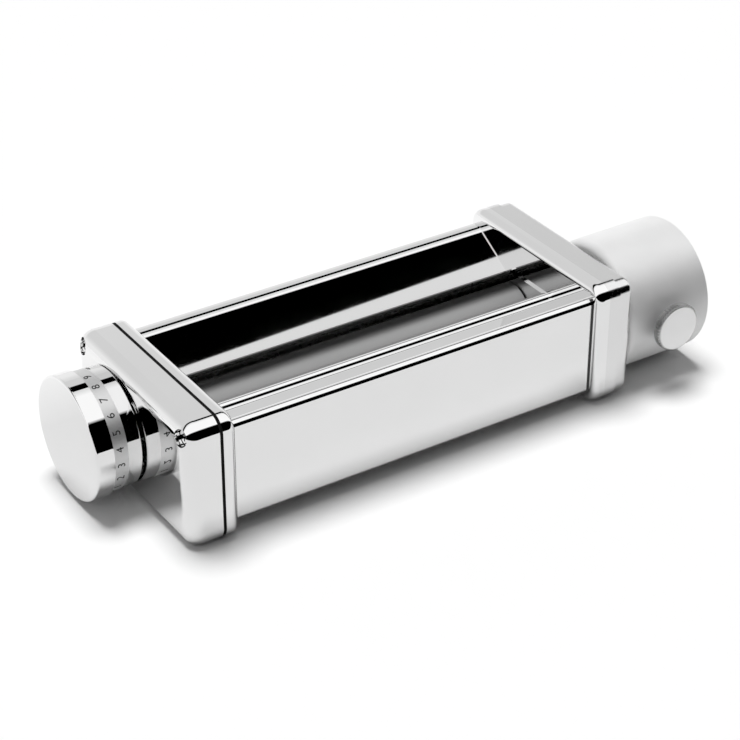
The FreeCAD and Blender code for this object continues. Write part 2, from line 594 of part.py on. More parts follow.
def snail_cam():
    """Cam whose radius grows by the same amount for each degree, as the follower's travel needs."""
    rise = SLIDE_STEP / STEP_ANGLE
    rest_r = FOLLOWER_REACH - FOLLOWER_R - CLEAR
    first = -(STEPS_TO_CLOSE * STEP_ANGLE + CAM_GROUND)
    last = STEPS_TO_OPEN * STEP_ANGLE + CAM_GROUND

    def point(radius, angle):
        """Point on the cam's outer face, at an angle in degrees from +y."""
        turn = math.radians(angle)
        return V(-CAM_FAR_X, DIAL_Y + radius * math.cos(turn), DIAL_Z + radius * math.sin(turn))

    count = int((last - first) / CAM_GROUND)
    angles = [first + (last - first) * i / count for i in range(count + 1)]
    ramp = Part.BSplineCurve()
    ramp.interpolate([point(rest_r + rise * angle, angle) for angle in angles])
    back = Part.Arc(
        point(CAM_BACK_R, last), point(CAM_BACK_R, (first + last) / 2 + 180), point(CAM_BACK_R, first)
    )
    high_step = Part.makeLine(point(rest_r + rise * last, last), point(CAM_BACK_R, last))
    low_step = Part.makeLine(point(CAM_BACK_R, first), point(rest_r + rise * first, first))
    wire = Part.Wire(Part.__sortEdges__([ramp.toShape(), high_step, back.toShape(), low_step]))
    disc = Part.Face(wire).extrude(V(CAM_WIDTH, 0, 0))
    return disc.cut(rod(-CAM_FAR_X, -CAM_NEAR_X, ADJUSTER_R + SEAT_FIT, DIAL_Y, DIAL_Z))


def adjuster_shaft():
    """Shaft from the knob to the cam, flatted under the dial and tapped for the knob's screw."""
    stem = rod(-SHAFT_END_X, -CAM_NEAR_X, ADJUSTER_R, DIAL_Y, DIAL_Z)
    flat = box(
        -SHAFT_END_X, -DIAL_FACE_X - ADJUSTER_SEAT_OUT,
        DIAL_Y - ADJUSTER_R, DIAL_Y + ADJUSTER_R,
        DIAL_Z + SHAFT_FLAT, DIAL_Z + ADJUSTER_R,
    )
    tap = rod(-SHAFT_END_X, -SHAFT_END_X + KNOB_SCREW_DEPTH, KNOB_SCREW_R + SEAT_FIT, DIAL_Y, DIAL_Z)
    return stem.cut(flat).cut(tap)


def adjuster_bush():
    """Long bush of the adjuster, through the dial end's cover."""
    return tube(
        -DIAL_FACE_X - ADJUSTER_SEAT_OUT, -DIAL_FACE_X + ADJUSTER_SEAT_IN,
        ADJUSTER_BUSH_R, ADJUSTER_R + RUN_FIT, DIAL_Y, DIAL_Z,
    )


def dial():
    """Numbered drum that slides on the shaft's flat, with one lock hole for each number."""
    inner_r = DIAL_R - DIAL_WALL
    collar_r = DIAL_R - DIAL_WALL / 2
    skirt = tube(-DIAL_FAR_X, -DIAL_NEAR_X, DIAL_R, inner_r, DIAL_Y, DIAL_Z)
    skirt = soften(skirt, -DIAL_NEAR_X, DIAL_EDGE)
    collar = tube(-DIAL_FAR_X - DIAL_COLLAR_LENGTH, -DIAL_FAR_X, collar_r, inner_r, DIAL_Y, DIAL_Z)
    web = rod(-DIAL_WEB_FAR_X, -DIAL_WEB_X, inner_r, DIAL_Y, DIAL_Z)
    drum = skirt.fuse([collar, web]).removeSplitter()
    bore = rod(-DIAL_WEB_FAR_X, -DIAL_WEB_X, ADJUSTER_R + RUN_FIT, DIAL_Y, DIAL_Z)
    bore = bore.cut(
        box(
            -DIAL_WEB_FAR_X, -DIAL_WEB_X,
            DIAL_Y - DIAL_R, DIAL_Y + DIAL_R,
            DIAL_Z + SHAFT_FLAT + RUN_FIT, DIAL_Z + DIAL_R,
        )
    )
    drum = drum.cut(bore)
    for step in range(-STEPS_TO_OPEN, STEPS_TO_CLOSE + 1):
        y, z = lock_point(step * STEP_ANGLE)
        drum = drum.cut(rod(-DIAL_WEB_FAR_X, -DIAL_WEB_X, LOCK_PIN_R + LOCK_HOLE_ROOM, y, z))
    return drum


def lock_point(angle):
    """Place on the lock circle, at an angle in degrees up from the front."""
    turn = math.radians(angle)
    return DIAL_Y - LOCK_CIRCLE_R * math.cos(turn), DIAL_Z + LOCK_CIRCLE_R * math.sin(turn)


def lock_pin():
    """Pin in the cover that holds the dial at a number."""
    y, z = lock_point(0.0)
    return rod(-DIAL_WEB_X + LOCK_PIN_SHORT, -DIAL_FACE_X + COVER_WALL, LOCK_PIN_R, y, z)


def knob_cap():
    """Plain polished cap that is pressed over the dial's collar."""
    cap = rod(-KNOB_FACE_X, -DIAL_FAR_X, KNOB_R, DIAL_Y, DIAL_Z)
    cap = soften(cap, -KNOB_FACE_X, KNOB_EDGE)
    collar_r = DIAL_R - DIAL_WALL / 2 + SEAT_FIT
    return cap.cut(rod(-KNOB_FACE_X + KNOB_FACE_THICK, -DIAL_FAR_X, collar_r, DIAL_Y, DIAL_Z))


def knob_washer():
    """Washer on the shaft's end that the knob's spring pushes against."""
    hole_r = KNOB_SCREW_R + SEAT_FIT
    return tube(-SHAFT_END_X - KNOB_WASHER_THICK, -SHAFT_END_X, KNOB_WASHER_R, hole_r, DIAL_Y, DIAL_Z)


def knob_screw():
    """Screw that holds the washer on the shaft's end."""
    head_near_x = -SHAFT_END_X - KNOB_WASHER_THICK
    shank = rod(head_near_x, -SHAFT_END_X + KNOB_SCREW_DEPTH - STUB_END_ROOM, KNOB_SCREW_R, DIAL_Y, DIAL_Z)
    return shank.fuse(rod(head_near_x - KNOB_SCREW_HEAD, head_near_x, KNOB_SCREW_HEAD_R, DIAL_Y, DIAL_Z))


def knob_spring():
    """Sleeve of the coil that pulls the dial back against the cover."""
    inner_r = KNOB_SPRING_R - KNOB_SPRING_WIRE
    return tube(-SHAFT_END_X, -DIAL_WEB_FAR_X, KNOB_SPRING_R, inner_r, DIAL_Y, DIAL_Z)


def gasket():
    """Black seal between the dial end's flange and cover."""
    ring = outline_plate(-GASKET_OUT_X, -FLANGE_OUT_X, GASKET_INSET)
    ring = ring.cut(outline_plate(-GASKET_OUT_X, -FLANGE_OUT_X, GASKET_INSET + GASKET_WIDTH))
    for y in SCREW_YS:
        ring = ring.cut(rod(-GASKET_OUT_X, -FLANGE_OUT_X, COVER_SCREW_R + CLEAR, y, SCREW_Z))
    return ring


def dial_cover():
    """Drawn shell over the gears and the cam, with posts for its two screws."""
    outer = soften(outline_plate(-DIAL_FACE_X, -GASKET_OUT_X), -DIAL_FACE_X, DIAL_COVER_EDGE)
    inner_x = -DIAL_FACE_X + COVER_WALL
    hollow = soften(outline_plate(inner_x, -GASKET_OUT_X, COVER_WALL), inner_x, DIAL_COVER_EDGE - COVER_WALL)
    shell = outer.cut(hollow)
    for y in SCREW_YS:
        post = rod(-DIAL_FACE_X, -GASKET_OUT_X, COVER_POST_R, y, SCREW_Z)
        shell = shell.fuse(post.common(outer))
        shell = shell.cut(rod(-DIAL_FACE_X, -GASKET_OUT_X, COVER_SCREW_R + SEAT_FIT, y, SCREW_Z))
        shell = shell.cut(rod(-DIAL_FACE_X, -DIAL_FACE_X + COVER_SPOT_DEPTH, COVER_SPOT_R, y, SCREW_Z))
    seat_far_x = -DIAL_FACE_X - ADJUSTER_SEAT_OUT
    seat_near_x = -DIAL_FACE_X + ADJUSTER_SEAT_IN
    shell = shell.fuse(rod(seat_far_x, seat_near_x, ADJUSTER_BUSH_R + ADJUSTER_SEAT_WALL, DIAL_Y, DIAL_Z))
    shell = shell.cut(rod(seat_far_x, seat_near_x, ADJUSTER_BUSH_R + SEAT_FIT, DIAL_Y, DIAL_Z))
    pin_y, pin_z = lock_point(0.0)
    return shell.cut(rod(-DIAL_FACE_X, -GASKET_OUT_X, LOCK_PIN_R + SEAT_FIT, pin_y, pin_z))


def hub_cover():
    """Stepped shell over the hub end, which carries the drive hub on its face."""
    step_x = FLANGE_OUT_X + HUB_COVER_STEP_X
    outer = outline_plate(FLANGE_OUT_X, step_x)
    nose = soften(outline_plate(step_x, HUB_FACE_X, HUB_COVER_STEP), HUB_FACE_X, HUB_COVER_EDGE)
    outer = outer.fuse(nose)
    inner_x = HUB_FACE_X - COVER_WALL
    shell = outer.cut(outline_plate(FLANGE_OUT_X, inner_x, COVER_WALL + HUB_COVER_STEP))
    for y in SCREW_YS:
        post = rod(FLANGE_OUT_X, HUB_FACE_X, COVER_POST_R, y, SCREW_Z)
        shell = shell.fuse(post.common(outer))
        shell = shell.cut(rod(FLANGE_OUT_X, HUB_FACE_X, COVER_SCREW_R + SEAT_FIT, y, SCREW_Z))
        shell = shell.cut(rod(HUB_FACE_X - COVER_SPOT_DEPTH, HUB_FACE_X, COVER_SPOT_R, y, SCREW_Z))
    shell = shell.cut(rod(inner_x, HUB_FACE_X, COUPLER_R + JOURNAL_ROOM, FRONT_Y))
    for y, z in hub_screw_points():
        shell = shell.cut(rod(inner_x, HUB_FACE_X, HUB_SCREW_R + SEAT_FIT, y, z))
    return shell


def cover_screws(face_x, tip_x):
    """Two cross-head screws of a cover, from its face towards the flange."""
    hand = 1.0 if face_x > tip_x else -1.0
    spot_x = face_x - hand * COVER_SPOT_DEPTH
    top_x = spot_x + hand * COVER_SCREW_HEAD
    screws = []
    for y in SCREW_YS:
        head = rod(min(spot_x, top_x), max(spot_x, top_x), COVER_SCREW_HEAD_R, y, SCREW_Z)
        shank = rod(min(spot_x, tip_x), max(spot_x, tip_x), COVER_SCREW_R, y, SCREW_Z)
        screw = head.fuse(shank)
        cut_x = top_x - hand * CROSS_DEPTH
        for long_y, long_z in ((CROSS_LENGTH, CROSS_WIDTH), (CROSS_WIDTH, CROSS_LENGTH)):
            slot = box(
                min(cut_x, top_x), max(cut_x, top_x),
                y - long_y / 2, y + long_y / 2,
                SCREW_Z - long_z / 2, SCREW_Z + long_z / 2,
            )
            screw = screw.cut(slot)
        screws.append(screw)
    return Part.makeCompound(screws)


def hub_screw_points():
    """Places of the screws that hold the hub on its cover."""
    points = []
    for i in range(HUB_SCREW_COUNT):
        turn = 2 * math.pi * (i + 0.5) / HUB_SCREW_COUNT
        points.append(
            (FRONT_Y + HUB_SCREW_CIRCLE_R * math.cos(turn), AXIS_Z + HUB_SCREW_CIRCLE_R * math.sin(turn))
        )
    return points


def hub_screws():
    """Screws from inside the cover into the hub's foot."""
    seat_x = HUB_FACE_X - COVER_WALL
    screws = []
    for y, z in hub_screw_points():
        head = rod(seat_x - HUB_SCREW_HEAD, seat_x, HUB_SCREW_HEAD_R, y, z)
        shank = rod(seat_x, HUB_FACE_X + HUB_SCREW_DEPTH - STUB_END_ROOM, HUB_SCREW_R, y, z)
        screws.append(head.fuse(shank))
    return Part.makeCompound(screws)


def drive_hub():
    """Round hub that slips over the mixer's spigot, with a tapped hole for the thumbscrew."""
    hub = rod(HUB_FACE_X, HUB_END_X, HUB_R, FRONT_Y)
    hub = soften(hub, HUB_END_X, HUB_EDGE)
    hub = soften(hub, HUB_FACE_X, HUB_FOOT_EDGE)
    web_x = HUB_FACE_X + HUB_WEB_THICK
    hub = hub.cut(rod(HUB_FLOOR_X, HUB_END_X, HUB_BORE_R, FRONT_Y))
    hub = hub.cut(rod(web_x, HUB_FLOOR_X, COUPLER_HEAD_R + HUB_POCKET_ROOM, FRONT_Y))
    hub = hub.cut(rod(HUB_FACE_X, web_x, COUPLER_R + RUN_FIT + BUSH_WALL + SEAT_FIT, FRONT_Y))
    for y, z in hub_screw_points():
        hub = hub.cut(rod(HUB_FACE_X, HUB_FACE_X + HUB_SCREW_DEPTH, HUB_SCREW_R + SEAT_FIT, y, z))
    outside = V(THUMB_X, FRONT_Y - HUB_R, AXIS_Z)
    return hub.cut(Part.makeCylinder(THUMB_SHANK_R + RUN_FIT, HUB_R, outside, V(0, 1, 0)))


def hub_bush():
    """Bush of the coupler in the hub's web."""
    inner_r = COUPLER_R + RUN_FIT
    return tube(HUB_FACE_X, HUB_FACE_X + HUB_WEB_THICK, inner_r + BUSH_WALL, inner_r, FRONT_Y)


def coupler():
    """Drive coupler on the front roller's stub, with a hexagon socket for the mixer's shaft."""
    body = rod(COUPLER_NEAR_X, COUPLER_HEAD_X, COUPLER_R, FRONT_Y)
    body = body.fuse(rod(COUPLER_HEAD_X, COUPLER_FACE_X, COUPLER_HEAD_R, FRONT_Y))
    body = body.cut(rod(COUPLER_NEAR_X, STUB_END_X, DRIVE_STUB_R + SEAT_FIT, FRONT_Y))
    corner_r = SOCKET_FLATS / math.sqrt(3)
    corners = []
    for i in range(7):
        turn = math.radians(60 * i)
        corners.append(
            V(
                COUPLER_FACE_X - SOCKET_DEPTH,
                FRONT_Y + corner_r * math.cos(turn),
                AXIS_Z + corner_r * math.sin(turn),
            )
        )
    hexagon = Part.Face(Part.makePolygon(corners))
    body = body.cut(hexagon.extrude(V(SOCKET_DEPTH, 0, 0)))
    below = V(COUPLER_PIN_X, FRONT_Y, AXIS_Z - COUPLER_R)
    return body.cut(Part.makeCylinder(COUPLER_PIN_R + SEAT_FIT, 2 * COUPLER_R, below, V(0, 0, 1)))


def coupler_pin():
    """Cross pin through the coupler and the front roller's stub."""
    length = 2 * (COUPLER_R - STUB_END_ROOM)
    below = V(COUPLER_PIN_X, FRONT_Y, AXIS_Z - length / 2)
    return Part.makeCylinder(COUPLER_PIN_R, length, below, V(0, 0, 1))


def rod_y(y0, y1, radius):
    """Cylinder along the thumbscrew's axis."""
    return Part.makeCylinder(radius, y1 - y0, V(THUMB_X, y0, AXIS_Z), V(0, 1, 0))


def pad_tip_y():
    """Place of the clamp pad's tip, just behind the wall of the hub's bore."""
    return FRONT_Y - HUB_BORE_R - PAD_RECESS


def thumbscrew():
    """Round head and shank that clamp the hub on the mixer's spigot."""
    head_y = THUMB_FACE_Y + THUMB_HEAD_THICK
    tip_y = pad_tip_y() - PAD_THICK - RUN_FIT
    head = rod_y(THUMB_FACE_Y, head_y, THUMB_HEAD_R)
    rims = [edge for edge in head.Edges if edge.BoundBox.YLength < 1e-6]
    head = head.makeFillet(THUMB_EDGE, rims)
    screw = head.fuse(rod_y(head_y, tip_y, THUMB_SHANK_R))
    return screw.cut(rod_y(tip_y - PAD_STEM_LENGTH - CLEAR, tip_y, PAD_STEM_R + RUN_FIT))


def clamp_pad():
    """Swivelling pad in the thumbscrew's tip."""
    tip_y = pad_tip_y()
    pad = rod_y(tip_y - PAD_THICK, tip_y, PAD_R)
    return pad.fuse(rod_y(tip_y - PAD_THICK - PAD_STEM_LENGTH, tip_y - PAD_THICK, PAD_STEM_R))


def pieces():
    """Every piece by its node's name."""
    screw_tip_x = SCREW_FLOOR_X + STUB_END_ROOM
    return {
        "front_panel": front_panel(),
        "rear_panel": rear_panel(),
        "hub_end_flange": flange(),
        "dial_end_flange": dial_end(flange()),
        "hub_end_side_plate": side_plate(),
        "dial_end_side_plate": dial_end(side_plate()),
        "tie_rods": tie_rods(),
        "hub_end_tie_screws": tie_screws(),
        "dial_end_tie_screws": dial_end(tie_screws()),
        "hub_end_front_bush": front_bush(),
        "dial_end_front_bush": dial_end(front_bush()),
        "front_roller": front_roller(),
        "front_gear": gear(FRONT_Y, AXIS_Z, FRONT_JOURNAL_R + SEAT_FIT),
        "front_scraper": scraper(TIE_ROD_R, TIE_FRONT_Y, TIE_ROD_LOW_Z, FRONT_Y, AXIS_Z),
        "rear_roller": rear_roller(),
        "rear_gear": gear(REAR_Y, REAR_Z, REAR_JOURNAL_R + SEAT_FIT),
        "hub_end_slide_block": slide_block(),
        "dial_end_slide_block": cam_slide_block(),
        "hub_end_slide_bush": slide_bush(),
        "dial_end_slide_bush": dial_end(slide_bush()),
        "carriage_rod": carriage_rod(),
        "rear_scraper": scraper(CARRIAGE_ROD_R, CARRIAGE_ROD_Y, CARRIAGE_ROD_Z, REAR_Y, REAR_Z),
        "cam_follower": follower(),
        "hub_end_return_spring": return_spring(),
        "dial_end_return_spring": dial_end(return_spring()),
        "adjuster_shaft": adjuster_shaft(),
        "adjuster_cam": snail_cam(),
        "adjuster_bush": adjuster_bush(),
        "dial": dial(),
        "knob_cap": knob_cap(),
        "knob_washer": knob_washer(),
        "knob_screw": knob_screw(),
        "knob_spring": knob_spring(),
        "lock_pin": lock_pin(),
        "cover_gasket": gasket(),
        "dial_end_cover": dial_cover(),
        "dial_end_cover_screws": cover_screws(-DIAL_FACE_X, -screw_tip_x),
        "hub_end_cover": hub_cover(),
        "hub_end_cover_screws": cover_screws(HUB_FACE_X, screw_tip_x),
        "drive_hub": drive_hub(),
        "hub_screws": hub_screws(),
        "hub_bush": hub_bush(),
        "drive_coupler": coupler(),
        "coupler_pin": coupler_pin(),
        "thumbscrew": thumbscrew(),
        "clamp_pad": clamp_pad(),
    }


def main():
    """Write one STEP file for each piece, and print the places that joints and mounts need."""
    os.makedirs("parts", exist_ok=True)
    for name, shape in pieces().items():
        shape.translate(ORIGIN_SHIFT)
        shape.exportStep("parts/" + name + ".step")
        state = "valid" if shape.isValid() else "NOT VALID"
        print(name, state, len(shape.Solids), "solid", round(shape.Volume, 1))
    print("origin shift", ORIGIN_SHIFT)
    print("front axis y", FRONT_Y + ORIGIN_SHIFT.y, "z", AXIS_Z)
    print("dial axis y", DIAL_Y + ORIGIN_SHIFT.y, "z", DIAL_Z)
    print("rear axis y", REAR_Y + ORIGIN_SHIFT.y, "z", REAR_Z, "travel", -TRAVEL_CLOSE, TRAVEL_OPEN)
    print("hub end x", HUB_END_X + ORIGIN_SHIFT.x, "hub floor x", HUB_FLOOR_X + ORIGIN_SHIFT.x)
    print("thumbscrew x", THUMB_X + ORIGIN_SHIFT.x)


main()
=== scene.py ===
import json
import math

import bmesh
import bpy
from mathutils import Matrix, Vector

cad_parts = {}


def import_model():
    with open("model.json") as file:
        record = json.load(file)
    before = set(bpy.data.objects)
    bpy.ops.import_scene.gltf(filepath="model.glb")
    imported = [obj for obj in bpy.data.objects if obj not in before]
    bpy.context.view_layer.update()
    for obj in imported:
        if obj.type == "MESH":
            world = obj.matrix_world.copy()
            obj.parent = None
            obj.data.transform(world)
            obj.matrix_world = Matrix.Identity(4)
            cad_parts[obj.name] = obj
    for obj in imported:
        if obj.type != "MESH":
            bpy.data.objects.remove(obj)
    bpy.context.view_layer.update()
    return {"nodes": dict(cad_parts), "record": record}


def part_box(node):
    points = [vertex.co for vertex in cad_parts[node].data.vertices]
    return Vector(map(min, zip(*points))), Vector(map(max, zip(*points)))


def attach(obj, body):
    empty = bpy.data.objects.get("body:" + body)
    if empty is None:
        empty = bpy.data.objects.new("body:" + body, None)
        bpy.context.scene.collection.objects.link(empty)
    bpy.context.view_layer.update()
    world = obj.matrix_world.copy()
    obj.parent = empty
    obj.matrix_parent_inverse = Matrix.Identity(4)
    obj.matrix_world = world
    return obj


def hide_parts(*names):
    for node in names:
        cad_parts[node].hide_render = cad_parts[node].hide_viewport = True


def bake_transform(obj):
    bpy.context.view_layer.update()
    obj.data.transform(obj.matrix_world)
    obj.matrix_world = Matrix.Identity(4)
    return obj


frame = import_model()
nodes = frame["nodes"]

MM = 0.001

# Meshes
SMOOTH_ANGLE = math.radians(35)
SAME_POINT = 1e-7              # points of a figure nearer than this are one

# Finishes
NOISE_LOW = 0.3                # most of a noise's values lie between these two
NOISE_HIGH = 0.7
EVEN = (1.0, 1.0, 1.0)         # noise that is alike in every direction
ALONG_X = (0.2, 1.0, 1.0)      # noise drawn out along x
GLOSS_FINER = 2.3              # how much finer a metal's gloss noise is than its tone noise
SKIN_FINER = 3.0               # the same for plastic and rubber
LINE_BLUR = 0.1 * MM           # half the width over which one finish passes into the next
DIAL_BAND_SHARE = 0.52         # satin share of the drum's length, next to the knob
GAP_SHADE_WIDTH = 0.8 * MM         # painted shade: dark line for the shadow gap between the front wall and each flange
GAP_SHADE_BACK = (1.4 * MM, 1.8 * MM)    # where the painted shade line fades, back from the wall's face
# tone of the chrome in the painted shade line
GAP_SHADE_TONE = 0.06

# Thumbscrew
HEAD_THICK = 3.4 * MM
HEAD_ROUND = ((0.0, 0.9), (0.12, 0.55), (0.45, 0.12), (0.75, 0.0))    # mm in from the face and the rim
KNURLS = 44
KNURL_POINTS = 4               # to a knurl, half of them sunk
KNURL_DEPTH = 0.6 * MM
KNURL_EDGE = 0.5 * MM          # rings nearer than this to the rim are knurled
KNURL_SHADE_EDGE = 0.8 * MM        # faces nearer than this to the rim get painted shade for the knurls' grooves, a darker copy of the aluminium
SHANK_R = 3.0 * MM
THREAD_PITCH = 0.5 * MM
THREAD_DEPTH = 0.22 * MM
THREAD_START = 0.6 * MM        # behind the head
SHANK_EDGE = 0.2 * MM

# Numbers of the dial
NUMBERS = 10
NUMBER_STEP = math.radians(16.0)
NUMBER_AT_REST = 3
READ_AT = math.radians(-5.0)   # up from the front, where the number at rest stands
NUMBER_SIZE = 4.0 * MM
NUMBER_FROM_KNOB = 2.9 * MM
NUMBER_THICK = 0.03 * MM
NUMBER_STAND = 0.02 * MM       # of the figures' middle off the drum

# Springs
COIL_TURNS = 3
COIL_STEPS = 28                # to a turn
WIRE_SIDES = 8
KNOB_WIRE_R = 0.45 * MM
RETURN_WIRE_R = 0.35 * MM

# Studio
FLOOR_Z = -0.00005
FLOOR_SIDE = 1.4
FLOOR_FRONT = -0.36            # just outside the view
FLOOR_BACK = 1.6
FLOOR_WHITE = (0.06, 0.10)     # where the floor behind the object turns white
AMBIENT = 0.30                 # share of the studio's brightness that lights matt surfaces
BAND_TURN = -0.026             # how much the light bands bend away from x, towards both sides


# Shader nodes

def new_material(name):
    """A new material with its node tree and its Principled shader."""
    mat = bpy.data.materials.new(name)
    mat.use_nodes = True
    tree = mat.node_tree
    return mat, tree, tree.nodes["Principled BSDF"]


def add(tree, kind, **settings):
    """A node of a kind, with its properties set."""
    node = tree.nodes.new(kind)
    for key, value in settings.items():
        setattr(node, key, value)
    return node


def axes(tree, kind="Object"):
    """Sockets of x, y and z, in metres over the object unless another kind of coordinates is named."""
    coords = add(tree, "ShaderNodeTexCoord")
    split = add(tree, "ShaderNodeSeparateXYZ")
    tree.links.new(coords.outputs[kind], split.inputs["Vector"])
    return [split.outputs[axis] for axis in "XYZ"]


def calculate(tree, operation, *values):
    """Result of a Math node over sockets and numbers."""
    node = add(tree, "ShaderNodeMath", operation=operation)
    for socket, value in zip(node.inputs, values):
        if isinstance(value, bpy.types.NodeSocket):
            tree.links.new(value, socket)
        else:
            socket.default_value = value
    return node.outputs["Value"]


def remap(tree, value, start, end, low=0.0, high=1.0):
    """A number that goes from low to high while the value goes from start to end."""
    node = add(tree, "ShaderNodeMapRange")
    node.inputs["From Min"].default_value = start
    node.inputs["From Max"].default_value = end
    node.inputs["To Min"].default_value = low
    node.inputs["To Max"].default_value = high
    tree.links.new(value, node.inputs["Value"])
    return node.outputs["Result"]


def grey(value):
    """Neutral colour."""
    return (value, value, value)


def whiten(tree, share, colour, white):
    """A colour mixed with a white of the given value, by a share."""
    node = add(tree, "ShaderNodeMix", data_type="RGBA")
    share_socket, colour_socket, white_socket = node.inputs[0], node.inputs[6], node.inputs[7]
    white_socket.default_value = (*grey(white), 1.0)
    tree.links.new(colour, colour_socket)
    tree.links.new(share, share_socket)
    return node.outputs[2]


def noise(tree, scale, detail=3.0, stretch=EVEN):
    """Noise over the object's own coordinates in metres."""
    coords = add(tree, "ShaderNodeTexCoord")
    mapping = add(tree, "ShaderNodeMapping")
    mapping.inputs["Scale"].default_value = stretch
    texture = add(tree, "ShaderNodeTexNoise")
    texture.inputs["Scale"].default_value = scale
    texture.inputs["Detail"].default_value = detail
    tree.links.new(coords.outputs["Object"], mapping.inputs["Vector"])
    tree.links.new(mapping.outputs["Vector"], texture.inputs["Vector"])
    return texture.outputs["Fac"]


def tones(tree, factor, dark, light):
    """Colours between dark and light over a noise."""
    node = add(tree, "ShaderNodeValToRGB")
    first, last = node.color_ramp.elements
    first.position = NOISE_LOW
    last.position = NOISE_HIGH
    first.color = (*dark, 1.0)
    last.color = (*light, 1.0)
    tree.links.new(factor, node.inputs["Fac"])
    return node.outputs["Color"]


def spread(tree, factor, low, high):
    """Numbers between low and high over a noise."""
    return remap(tree, factor, NOISE_LOW, NOISE_HIGH, low, high)


def bump(tree, shader, height, strength, distance):
    """Fine relief on a shader."""
    node = add(tree, "ShaderNodeBump")
    node.inputs["Strength"].default_value = strength
    node.inputs["Distance"].default_value = distance
    tree.links.new(height, node.inputs["Height"])
    tree.links.new(node.outputs["Normal"], shader.inputs["Normal"])


# Materials

def metal(name, dark, light, rough, grain, stretch=EVEN, relief=None, metallic=1.0):
    """Metal with slight changes of tone and gloss, and relief as (scale, strength, depth)."""
    mat, tree, shader = new_material(name)
    shader.inputs["Metallic"].default_value = metallic
    tone = noise(tree, grain, 4.0, stretch)
    tree.links.new(tones(tree, tone, dark, light), shader.inputs["Base Color"])
    gloss = noise(tree, grain * GLOSS_FINER, 5.0, stretch)
    tree.links.new(spread(tree, gloss, *rough), shader.inputs["Roughness"])
    if relief:
        scale, strength, depth = relief
        bump(tree, shader, noise(tree, scale, 2.0, stretch), strength, depth)
    return mat


def dull(name, dark, light, rough, grain, relief, shine=0.5):
    """Plastic or rubber with a moulded skin, and relief as (scale, strength, depth)."""
    mat, tree, shader = new_material(name)
    shader.inputs["Specular IOR Level"].default_value = shine
    tree.links.new(tones(tree, noise(tree, grain), dark, light), shader.inputs["Base Color"])
    gloss = noise(tree, grain * SKIN_FINER)
    tree.links.new(spread(tree, gloss, *rough), shader.inputs["Roughness"])
    scale, strength, depth = relief
    bump(tree, shader, noise(tree, scale), strength, depth)
    return mat


CHROME = metal("chrome", grey(0.89), grey(0.91), (0.006, 0.014), 35.0)
SOFT_CHROME = metal("soft_chrome", grey(0.80), grey(0.83), (0.13, 0.17), 35.0)
POLISHED = metal("polished_steel", grey(0.80), grey(0.85), (0.04, 0.08), 50.0)
ROLLER = metal("roller_steel", grey(0.36), grey(0.40), (0.40, 0.46), 40.0, stretch=ALONG_X, metallic=0.6)
SATIN = metal(
    "satin_aluminium", grey(0.91), grey(0.94), (0.46, 0.54), 90.0,
    relief=(6000.0, 0.12, 0.00003), metallic=0.35,
)
TURNED = metal("turned_aluminium", grey(0.80), grey(0.84), (0.18, 0.24), 90.0)
# darker copy of the turned aluminium: painted shade for the knurls' grooves
KNURL_SHADE = metal("knurl_shaded_aluminium", grey(0.50), grey(0.58), (0.20, 0.28), 90.0)
STEEL = metal("steel", grey(0.52), grey(0.60), (0.22, 0.34), 120.0)
BRONZE = metal("bronze", (0.50, 0.34, 0.15), (0.60, 0.44, 0.22), (0.30, 0.42), 120.0)
ALLOY = metal(
    "block_alloy", grey(0.50), grey(0.56), (0.42, 0.55), 150.0,
    relief=(2500.0, 0.2, 0.00004),
)
NYLON = dull(
    "gear_nylon", (0.78, 0.77, 0.72), (0.84, 0.83, 0.79), (0.40, 0.52), 90.0,
    relief=(1800.0, 0.1, 0.00003),
)
RUBBER = dull(
    "gasket_rubber", grey(0.004), grey(0.008), (0.60, 0.75), 200.0,
    relief=(2500.0, 0.2, 0.00004), shine=0.1,
)
INK = dull(
    "number_ink", grey(0.015), grey(0.03), (0.5, 0.65), 400.0,
    relief=(4000.0, 0.1, 0.00001), shine=0.2,
)


def dial_material():
    """Polished drum with a satin band for the numbers next to the knob."""
    mat, tree, shader = new_material("dial_steel")
    shader.inputs["Metallic"].default_value = 1.0
    knob_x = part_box("knob_cap")[1].x
    band_end = knob_x + DIAL_BAND_SHARE * (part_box("dial")[1].x - knob_x)
    x = axes(tree)[0]
    rough = remap(tree, x, band_end - LINE_BLUR, band_end + LINE_BLUR, 0.46, 0.03)
    tree.links.new(rough, shader.inputs["Roughness"])
    tree.links.new(tones(tree, noise(tree, 60.0), grey(0.78), grey(0.84)), shader.inputs["Base Color"])
    return mat


def panel_material():
    """Chrome sheet with a painted shade line at the two ends of its front wall, for the shadow gap at each
    flange.
    """
    mat, tree, shader = new_material("panel_chrome")
    shader.inputs["Metallic"].default_value = 1.0
    low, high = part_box("front_panel")
    gap_shade_from = (high.x - low.x) / 2 - GAP_SHADE_WIDTH
    x, y = axes(tree)[:2]
    outward = calculate(tree, "ABSOLUTE", calculate(tree, "SUBTRACT", x, (low.x + high.x) / 2))
    gap_shade = remap(tree, outward, gap_shade_from - LINE_BLUR, gap_shade_from + LINE_BLUR, 1.0, GAP_SHADE_TONE)
    behind = remap(tree, y, low.y + GAP_SHADE_BACK[0], low.y + GAP_SHADE_BACK[1])
    tone = add(tree, "ShaderNodeVectorMath", operation="SCALE")
    tree.links.new(tones(tree, noise(tree, 35.0, 4.0), grey(0.89), grey(0.91)), tone.inputs[0])
    # painted shade: the chrome's tone drops to a dark line at the wall's two ends, for the shadow gap at
    # each flange
    tree.links.new(calculate(tree, "MAXIMUM", gap_shade, behind), tone.inputs["Scale"])
    tree.links.new(tone.outputs["Vector"], shader.inputs["Base Color"])
    tree.links.new(spread(tree, noise(tree, 80.0, 5.0), 0.006, 0.014), shader.inputs["Roughness"])
    return mat


